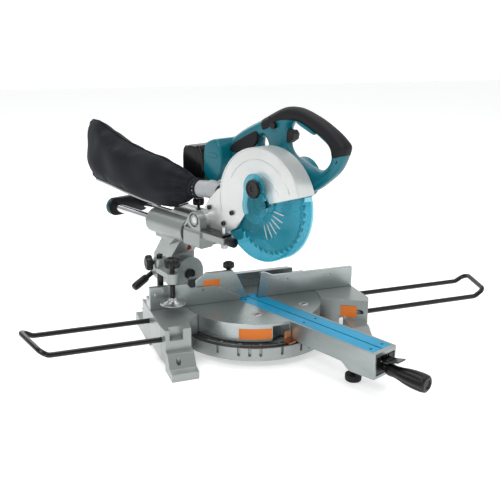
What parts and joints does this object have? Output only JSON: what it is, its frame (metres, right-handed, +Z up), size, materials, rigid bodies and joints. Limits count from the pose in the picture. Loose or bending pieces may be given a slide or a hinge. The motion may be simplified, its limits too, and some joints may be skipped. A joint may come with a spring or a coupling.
{
  "type": "sliding compound mitre saw",
  "caption": "Battery sliding compound mitre saw with turntable, fence, tilting arm, twin slide poles, guarded blade, loop handle, dust bag and wire extension bars.",
  "frame": {"origin": "mitre axis of the turntable, on the bench plane", "axes": "+X to the right along the fence, +Y to the back, +Z up"},
  "size_m": [0.9526, 0.8815, 0.446],
  "materials": {
    "cast_grey": "satin",
    "machined": "brushed",
    "scale_black": "satin",
    "teal_plastic": "satin",
    "black_plastic": "matt",
    "black_rubber": "matt",
    "board_blue": "satin",
    "chrome": "polished",
    "zinc": "satin",
    "black_steel": "satin",
    "clear_teal": "clear",
    "bag_cloth": "matt",
    "bag_clip": "satin",
    "nozzle_grey": "satin"
  },
  "bodies": {
    "base": {"base_casting": "cast_grey", "rubber_feet": "black_rubber", "mitre_scale": "scale_black", "table_bolt": "zinc", "guide_fence": "cast_grey", "fence_screws": "zinc", "vise_post": "black_steel"},
    "sub_fence": {"sub_fence": "cast_grey"},
    "sub_fence_knob": {"sub_fence_knob": "black_plastic"},
    "bar_left": {"extension_bar_left": "black_steel"},
    "bar_right": {"extension_bar_right": "black_steel"},
    "bar_screw_left": {"bar_screw_left": "black_plastic"},
    "bar_screw_right": {"bar_screw_right": "black_plastic"},
    "vise_arm": {"vise_arm": "cast_grey"},
    "vise_clamp_screw": {"vise_clamp_screw": "black_plastic"},
    "vise_spindle": {"vise_spindle": "black_plastic", "vise_pad": "zinc"},
    "turntable": {"turntable": "cast_grey", "kerf_boards": "board_blue", "kerf_screws": "black_steel", "mitre_pointer": "machined", "arm_end_plate": "black_plastic", "bevel_pin": "black_steel"},
    "arm_foot": {"arm_foot": "black_rubber"},
    "mitre_grip": {"mitre_grip": "black_plastic"},
    "detent_lever": {"detent_lever": "black_steel"},
    "bevel_arm": {"bevel_arm": "cast_grey", "pole_bushes": "zinc"},
    "bevel_lever": {"bevel_lever": "black_plastic"},
    "pole_lock_screw": {"pole_lock_screw": "black_plastic"},
    "carriage": {"slide_poles": "chrome", "pole_cap": "teal_plastic", "carriage": "cast_grey", "pivot_shaft": "zinc", "stop_arm": "black_steel"},
    "depth_screw": {"depth_screw": "zinc"},
    "stopper_pin": {"stopper_pin": "black_plastic"},
    "head": {"blade_case": "cast_grey", "case_screws": "black_steel", "centre_cover": "clear_teal", "cover_cap": "black_plastic", "gear_housing": "cast_grey", "motor_housing": "teal_plastic", "handle_shell_left": "teal_plastic", "handle_shell_right": "teal_plastic", "handle_grip": "black_rubber", "battery_housing": "teal_plastic", "dust_nozzle": "nozzle_grey", "dust_bag": "bag_cloth", "bag_strip": "bag_clip"},
    "blade": {"saw_blade": "zinc", "outer_flange": "zinc", "arbor_bolt": "black_steel", "blade_spindle": "zinc"},
    "rotor": {"motor_rotor": "zinc"},
    "lower_guard": {"lower_guard": "clear_teal"},
    "trigger": {"trigger": "black_plastic"},
    "lock_off_button": {"lock_off_button": "black_plastic"},
    "battery_left": {"battery_left": "black_plastic"},
    "battery_right": {"battery_right": "black_plastic"}
  },
  "joints": [
    {"name": "sub_fence_slide", "type": "slide", "parent": "base", "child": "sub_fence", "axis": [-1, 0, 0], "range_m": [0, 0.018]},
    {"name": "sub_fence_knob_turn", "type": "hinge", "parent": "sub_fence", "child": "sub_fence_knob", "pos_m": [-0.042, 0.022, 0.14], "axis": [0, 0, 1], "range_deg": [-180, 180]},
    {"name": "bar_left_slide", "type": "slide", "parent": "base", "child": "bar_left", "axis": [-1, 0, 0], "range_m": [0, 0.035]},
    {"name": "bar_right_slide", "type": "slide", "parent": "base", "child": "bar_right", "axis": [1, 0, 0], "range_m": [0, 0.035]},
    {"name": "bar_screw_left_turn", "type": "hinge", "parent": "base", "child": "bar_screw_left", "pos_m": [-0.195, 0.07, 0.054], "axis": [0, 1, 0], "range_deg": [-180, 180]},
    {"name": "bar_screw_right_turn", "type": "hinge", "parent": "base", "child": "bar_screw_right", "pos_m": [0.196, 0.07, 0.054], "axis": [0, 1, 0], "range_deg": [-180, 180]},
    {"name": "vise_arm_height", "type": "slide", "parent": "base", "child": "vise_arm", "axis": [0, 0, 1], "range_m": [-0.009, 0.003]},
    {"name": "vise_clamp_turn", "type": "hinge", "parent": "vise_arm", "child": "vise_clamp_screw", "pos_m": [-0.19, 0.026, 0.163], "axis": [-1, 0, 0], "range_deg": [-180, 180]},
    {"name": "vise_spindle_feed", "type": "slide", "parent": "vise_arm", "child": "vise_spindle", "axis": [0, 0, 1], "range_m": [-0.01, 0.025]},
    {"name": "mitre_turn", "type": "hinge", "parent": "base", "child": "turntable", "pos_m": [0, 0, 0.06], "axis": [0, 0, 1], "range_deg": [-69.5, 34.5]},
    {"name": "arm_foot_height", "type": "slide", "parent": "turntable", "child": "arm_foot", "axis": [0, 0, 1], "range_m": [0, 0.015]},
    {"name": "mitre_grip_turn", "type": "hinge", "parent": "turntable", "child": "mitre_grip", "pos_m": [0.13777, -0.3326, 0.047], "axis": [0.3827, -0.9239, 0], "range_deg": [-90, 90]},
    {"name": "detent_lever_press", "type": "hinge", "parent": "turntable", "child": "detent_lever", "pos_m": [0.11213, -0.2707, 0.063], "axis": [0.9239, 0.3827, 0], "range_deg": [0, 5], "stiffness_Nm_per_rad": 2, "springref_deg": -8.59},
    {"name": "bevel_tilt", "type": "hinge", "parent": "turntable", "child": "bevel_arm", "pos_m": [-0.09184, 0.22173, 0.078], "axis": [-0.3827, 0.9239, 0], "range_deg": [-45, 5]},
    {"name": "bevel_lever_lift", "type": "hinge", "parent": "bevel_arm", "child": "bevel_lever", "pos_m": [-0.1106, 0.267, 0.078], "axis": [-0.3827, 0.9239, 0], "range_deg": [0, 40]},
    {"name": "pole_lock_turn", "type": "hinge", "parent": "bevel_arm", "child": "pole_lock_screw", "pos_m": [-0.04696, 0.20352, 0.225], "axis": [0, 0, 1], "range_deg": [-180, 180]},
    {"name": "head_slide", "type": "slide", "parent": "bevel_arm", "child": "carriage", "axis": [0.3827, -0.9239, 0], "range_m": [0, 0.14]},
    {"name": "depth_screw_turn", "type": "hinge", "parent": "carriage", "child": "depth_screw", "pos_m": [-0.0532, 0.01477, 0.2], "axis": [0, 0, 1], "range_deg": [-180, 180]},
    {"name": "stopper_pin_pull", "type": "slide", "parent": "carriage", "child": "stopper_pin", "axis": [0.3827, -0.9239, 0], "range_m": [0, 0.01]},
    {"name": "head_pivot", "type": "hinge", "parent": "carriage", "child": "head", "pos_m": [-0.04286, 0.10347, 0.222], "axis": [0.9239, 0.3827, 0], "range_deg": [0, 38], "stiffness_Nm_per_rad": 14, "springref_deg": -40.11},
    {"name": "blade_spin", "type": "hinge", "parent": "head", "child": "blade", "pos_m": [0.01454, -0.03511, 0.272], "axis": [0.9239, 0.3827, 0], "continuous": true},
    {"name": "rotor_spin", "type": "hinge", "parent": "head", "child": "rotor", "pos_m": [0.06462, 0.00079, 0.306], "axis": [0.9239, 0.3827, 0], "continuous": true},
    {"name": "guard_swing", "type": "hinge", "parent": "head", "child": "lower_guard", "pos_m": [0.01454, -0.03511, 0.272], "axis": [-0.9239, -0.3827, 0], "range_deg": [0, 180]},
    {"name": "trigger_pull", "type": "hinge", "parent": "head", "child": "trigger", "pos_m": [0.05923, 0.00072, 0.401], "axis": [-0.9239, -0.3827, 0], "range_deg": [0, 9], "stiffness_Nm_per_rad": 0.3, "springref_deg": -5.73},
    {"name": "lock_off_push", "type": "slide", "parent": "head", "child": "lock_off_button", "axis": [0.9239, 0.3827, 0], "range_m": [-0.004, 0.004], "stiffness_N_per_m": 300},
    {"name": "battery_left_release", "type": "slide", "parent": "head", "child": "battery_left", "axis": [0, 0, 1], "range_m": [0, 0.06]},
    {"name": "battery_right_release", "type": "slide", "parent": "head", "child": "battery_right", "axis": [0, 0, 1], "range_m": [0, 0.06]}
  ],
  "couplings": [
    {"joint": "rotor_spin", "follows": "blade_spin", "ratio": -3.6},
    {"joint": "guard_swing", "follows": "head_pivot", "ratio": 4.7363}
  ]
}
